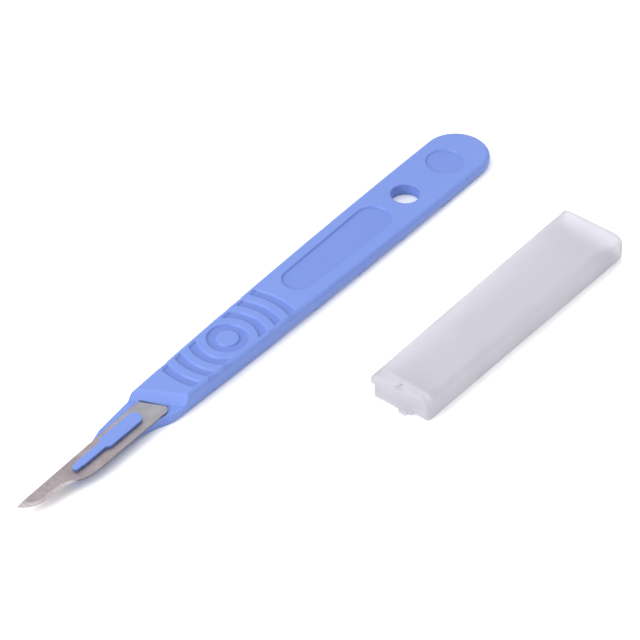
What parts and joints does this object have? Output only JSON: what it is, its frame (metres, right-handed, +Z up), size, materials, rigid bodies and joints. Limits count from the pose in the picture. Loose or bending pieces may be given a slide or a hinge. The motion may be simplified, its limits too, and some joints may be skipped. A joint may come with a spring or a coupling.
{
  "type": "disposable scalpel",
  "caption": "Slim moulded handle with ringed finger grip and hanging hole, carrying a small curved steel blade on a nib, with its open-ended milky blade cover lying beside it.",
  "frame": {"origin": "on the axis of the hanging hole, in the plane of the handle's flat underside, which is also the plane that the cover rests on", "axes": "+X along the handle from the blade to the round rear end, +Y across the handle away from the cover, +Z up out of the ringed face"},
  "size_m": [0.1403, 0.0519, 0.0057],
  "materials": {
    "blue_plastic": "satin moulded cornflower blue",
    "blade_steel": "satin ground steel with a brighter ground edge",
    "milky_plastic": "milky translucent polypropylene"
  },
  "bodies": {
    "root": {"handle": "blue_plastic", "blade": "blade_steel", "blade_cover": "milky_plastic"}
  },
  "joints": []
}
